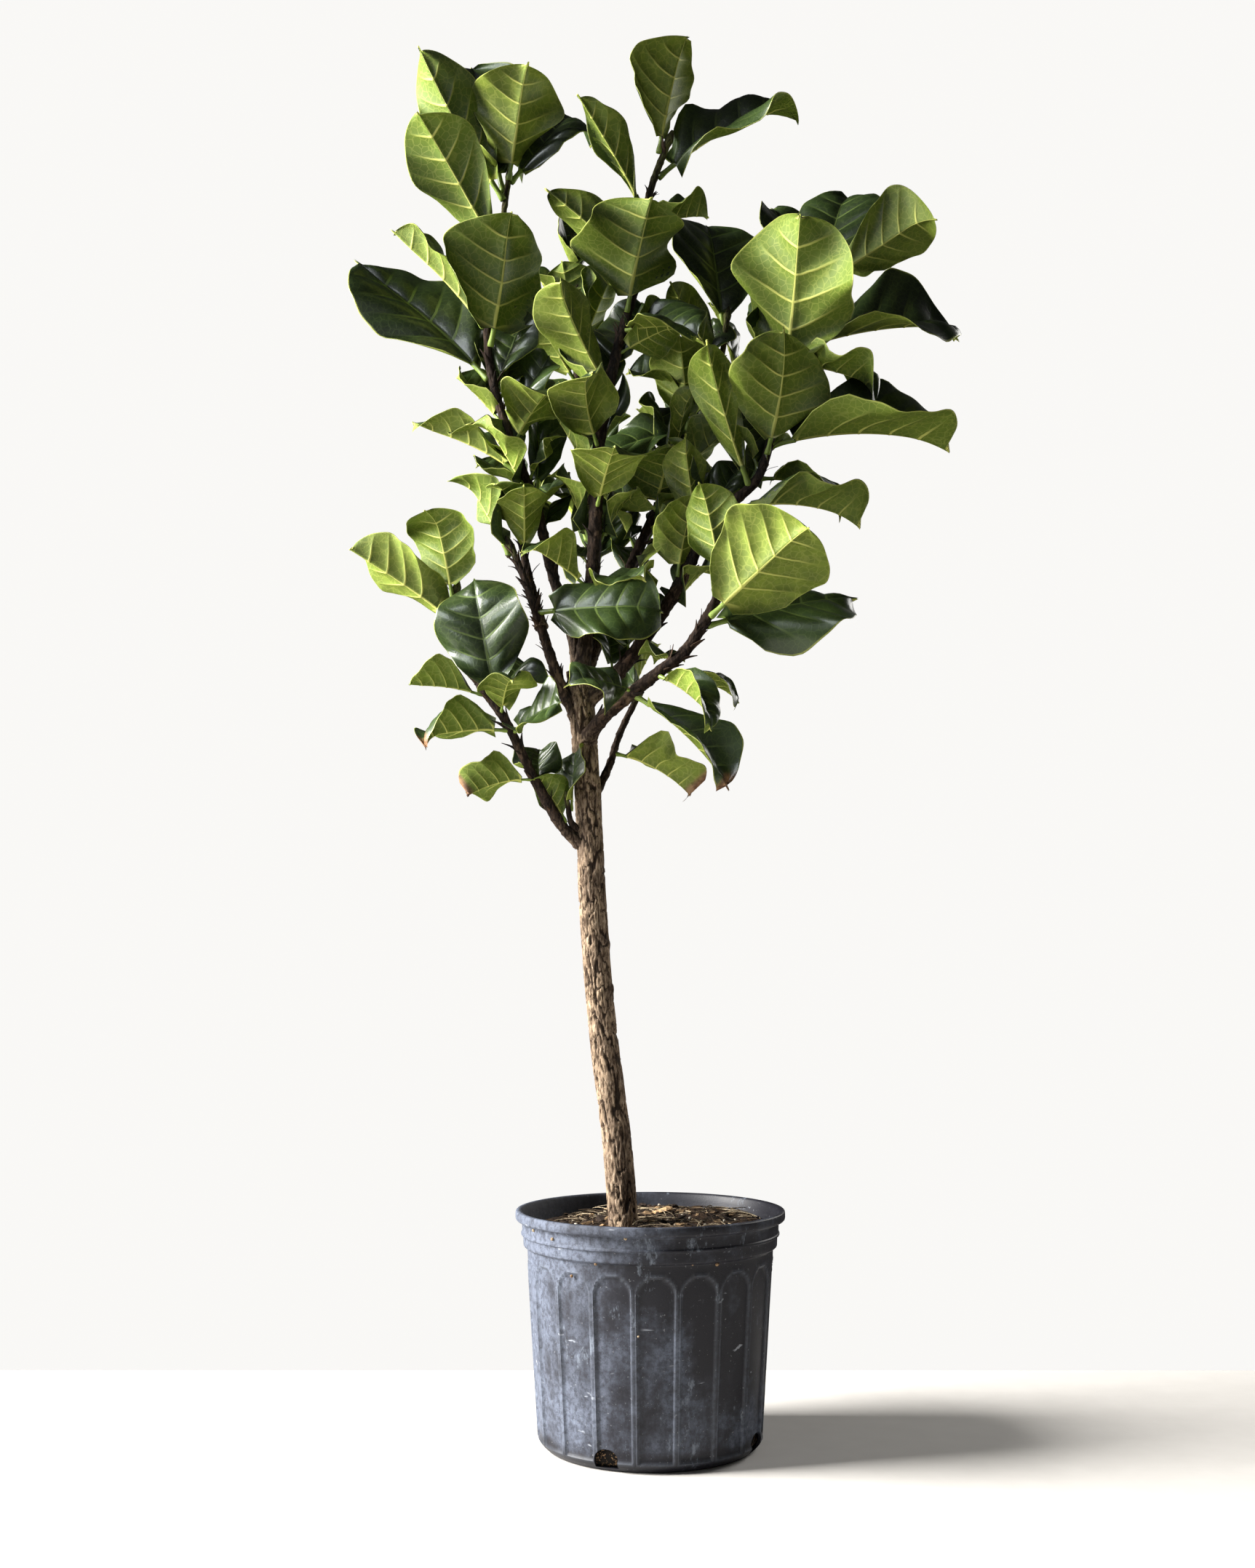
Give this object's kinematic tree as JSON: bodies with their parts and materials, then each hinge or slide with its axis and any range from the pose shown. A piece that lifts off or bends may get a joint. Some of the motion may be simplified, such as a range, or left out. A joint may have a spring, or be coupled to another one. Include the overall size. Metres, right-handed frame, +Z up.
{
  "type": "potted plant",
  "caption": "Tall potted fiddle leaf fig: one bare trunk forking into upright limbs with broad leaves, in a round tapered plastic nursery pot of soil.",
  "frame": {"origin": "centre of the pot's flat underside", "axes": "+Z up along the plant's height, front of the plant towards -Y, +X to the right seen from the front"},
  "size_m": [0.6114, 0.2563, 1.3727],
  "materials": {
    "pot_plastic": "charcoal moulded plastic with a chalky scuffed haze",
    "soil_mix": "coarse bark and fibre potting mix",
    "bark": "grey-brown fissured bark",
    "leaf": "waxy green upper side and matte lime underside"
  },
  "bodies": {
    "root": {"pot": "pot_plastic", "soil": "soil_mix", "tree": "bark", "leaf_left_low_1": "leaf", "leaf_left_low_2": "leaf", "leaf_left_low_3": "leaf", "leaf_left_low_4": "leaf", "leaf_left_low_5": "leaf", "leaf_left_low_6": "leaf", "leaf_left_low_7": "leaf", "leaf_left_low_8": "leaf", "leaf_right_low_1": "leaf", "leaf_right_limb_1": "leaf", "leaf_right_limb_2": "leaf", "leaf_right_limb_3": "leaf", "leaf_right_limb_4": "leaf", "leaf_right_limb_5": "leaf", "leaf_right_limb_6": "leaf", "leaf_right_main_1": "leaf", "leaf_right_main_2": "leaf", "leaf_right_main_3": "leaf", "leaf_right_main_4": "leaf", "leaf_right_main_5": "leaf", "leaf_right_main_6": "leaf", "leaf_right_main_7": "leaf", "leaf_right_main_8": "leaf", "leaf_centre_1": "leaf", "leaf_centre_2": "leaf", "leaf_centre_3": "leaf", "leaf_centre_4": "leaf", "leaf_centre_5": "leaf", "leaf_centre_6": "leaf", "leaf_centre_7": "leaf", "leaf_centre_8": "leaf", "leaf_centre_9": "leaf", "leaf_centre_10": "leaf", "leaf_left_fork_1": "leaf", "leaf_left_fork_2": "leaf", "leaf_left_fork_side_1": "leaf", "leaf_left_fork_side_2": "leaf", "leaf_left_main_1": "leaf", "leaf_left_main_2": "leaf", "leaf_left_main_3": "leaf", "leaf_left_main_4": "leaf", "leaf_left_main_5": "leaf", "leaf_left_main_6": "leaf", "leaf_left_main_7": "leaf", "leaf_left_main_8": "leaf", "leaf_left_main_9": "leaf", "leaf_left_main_10": "leaf", "leaf_middle_right_1": "leaf", "leaf_middle_right_2": "leaf", "leaf_middle_right_3": "leaf", "leaf_middle_right_4": "leaf", "leaf_middle_right_5": "leaf", "leaf_back_centre_1": "leaf", "leaf_back_centre_2": "leaf", "leaf_back_right_1": "leaf", "leaf_back_right_2": "leaf", "leaf_back_right_3": "leaf"}
  },
  "joints": []
}
